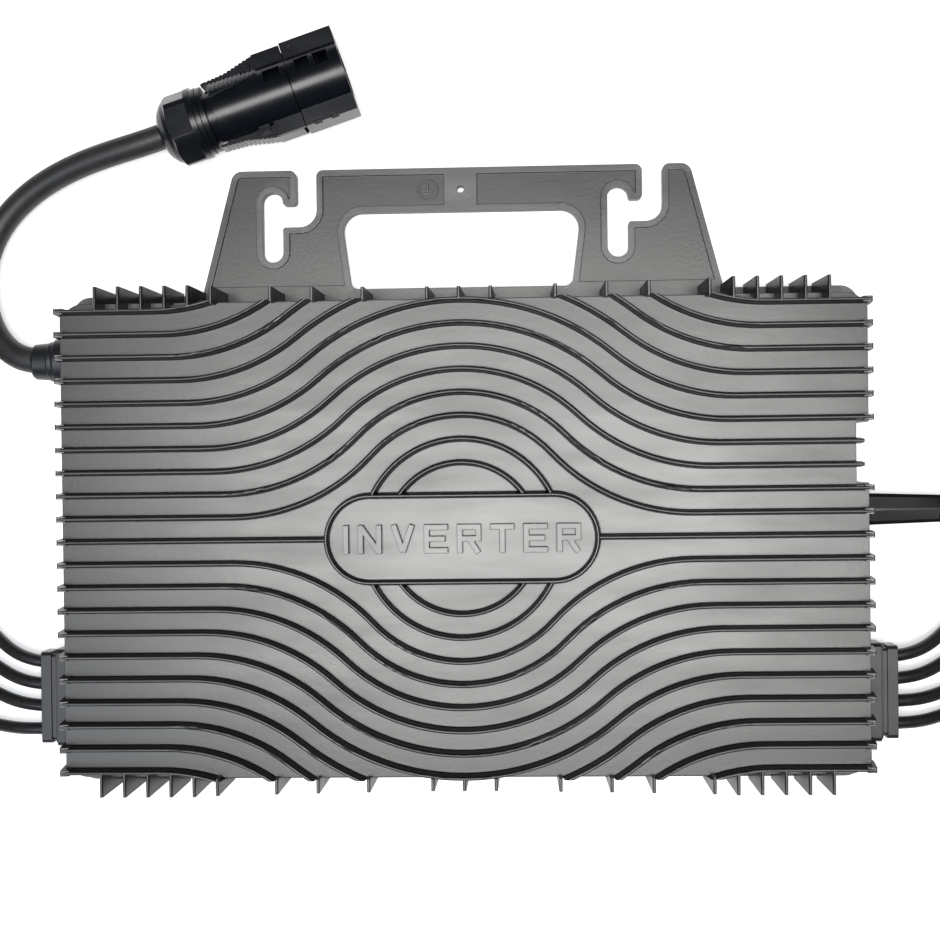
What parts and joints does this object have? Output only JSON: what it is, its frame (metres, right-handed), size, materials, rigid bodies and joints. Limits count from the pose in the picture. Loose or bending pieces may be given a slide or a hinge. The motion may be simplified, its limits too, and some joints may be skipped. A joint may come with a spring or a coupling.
{
  "type": "photovoltaic microinverter",
  "caption": "Flat finned microinverter with a slotted hanging bracket and handle, photovoltaic leads from both sides, an AC lead with a latching plug and a stick antenna.",
  "frame": {"origin": "centre of the housing's back face, where it lies on its back", "axes": "+X to the antenna side, +Y towards the carry handle, +Z out of the fins"},
  "size_m": [0.6376, 0.3458, 0.0424],
  "materials": {
    "powder_coat": "satin dark grey powder coat",
    "cover_coat": "satin dark grey powder coat",
    "steel": "zinc plated",
    "seal_rubber": "matt",
    "board": "solder mask",
    "ferrite": "sintered",
    "winding": "enamelled copper",
    "capacitor_can": "sleeved can",
    "film_case": "moulded case",
    "component_plastic": "moulded",
    "thermal_pad": "silicone",
    "tin": "tinned",
    "plated_brass": "plated",
    "contact": "tin plated copper",
    "grommet_rubber": "satin moulded polyamide",
    "cable_jacket": "matt cross-linked jacket",
    "connector_plastic": "satin moulded",
    "plug_plastic": "semi-gloss moulded",
    "antenna_plastic": "semi-gloss moulded"
  },
  "bodies": {
    "inverter": {"ac_cable": "cable_jacket", "ac_gland_body": "grommet_rubber", "ac_gland_locknut": "plated_brass", "ac_gland_seal": "seal_rubber", "ac_terminal_block": "component_plastic", "antenna_coax": "winding", "antenna_socket": "plated_brass", "antenna_socket_nut": "plated_brass", "board_screws": "steel", "cover_gasket": "seal_rubber", "cover_screws": "steel", "dc_connector_l1": "connector_plastic", "dc_connector_l2": "connector_plastic", "dc_connector_l3": "connector_plastic", "dc_connector_l4": "connector_plastic", "dc_connector_nuts_left": "connector_plastic", "dc_connector_nuts_right": "connector_plastic", "dc_connector_r1": "connector_plastic", "dc_connector_r2": "connector_plastic", "dc_connector_r3": "connector_plastic", "dc_connector_r4": "connector_plastic", "dc_contacts_left": "contact", "dc_contacts_right": "contact", "dc_grommet_left": "grommet_rubber", "dc_grommet_right": "grommet_rubber", "dc_lead_l1": "cable_jacket", "dc_lead_l2": "cable_jacket", "dc_lead_l3": "cable_jacket", "dc_lead_l4": "cable_jacket", "dc_lead_r1": "cable_jacket", "dc_lead_r2": "cable_jacket", "dc_lead_r3": "cable_jacket", "dc_lead_r4": "cable_jacket", "dc_terminals_left": "component_plastic", "dc_terminals_right": "component_plastic", "film_capacitors": "film_case", "filter_chokes": "ferrite", "finned_housing": "powder_coat", "grid_relays": "component_plastic", "input_capacitors": "capacitor_can", "main_board": "board", "plug_body": "plug_plastic", "plug_contacts": "contact", "plug_insert": "plug_plastic", "plug_nut": "plug_plastic", "plug_seal": "seal_rubber", "power_mosfets": "component_plastic", "radio_board": "board", "radio_shield": "tin", "rear_cover": "cover_coat", "thermal_pads": "thermal_pad", "transformer_cores": "ferrite", "transformer_windings": "winding"},
    "antenna_base": {"antenna_knuckle": "antenna_plastic", "antenna_hinge_pin": "plated_brass"},
    "antenna_stick": {"antenna_mast": "antenna_plastic"},
    "latch_upper": {"plug_latch_upper": "plug_plastic"},
    "latch_lower": {"plug_latch_lower": "plug_plastic"},
    "locking_sleeve": {"plug_end_cap": "plug_plastic"}
  },
  "joints": [
    {"name": "antenna_swivel", "type": "hinge", "parent": "inverter", "child": "antenna_base", "pos_m": [0.1845, 0.0103, 0.0175], "axis": [-1, 0, 0], "range_deg": [-60, 60]},
    {"name": "antenna_tilt", "type": "hinge", "parent": "antenna_base", "child": "antenna_stick", "pos_m": [0.222, 0.0103, 0.0175], "axis": [0, -1, 0], "range_deg": [0, 90]},
    {"name": "latch_upper_press", "type": "hinge", "parent": "inverter", "child": "latch_upper", "pos_m": [-0.09696, 0.21357, 0.0166], "axis": [0, 0, 1], "range_deg": [0, 2.5], "stiffness_Nm_per_rad": 0.6},
    {"name": "latch_lower_press", "type": "hinge", "parent": "inverter", "child": "latch_lower", "pos_m": [-0.08774, 0.18587, 0.0166], "axis": [0, 0, -1], "range_deg": [0, 2.5], "stiffness_Nm_per_rad": 0.6},
    {"name": "sleeve_pull", "type": "slide", "parent": "inverter", "child": "locking_sleeve", "axis": [0.9489, 0.3156, 0], "range_m": [0, 0.01]}
  ]
}
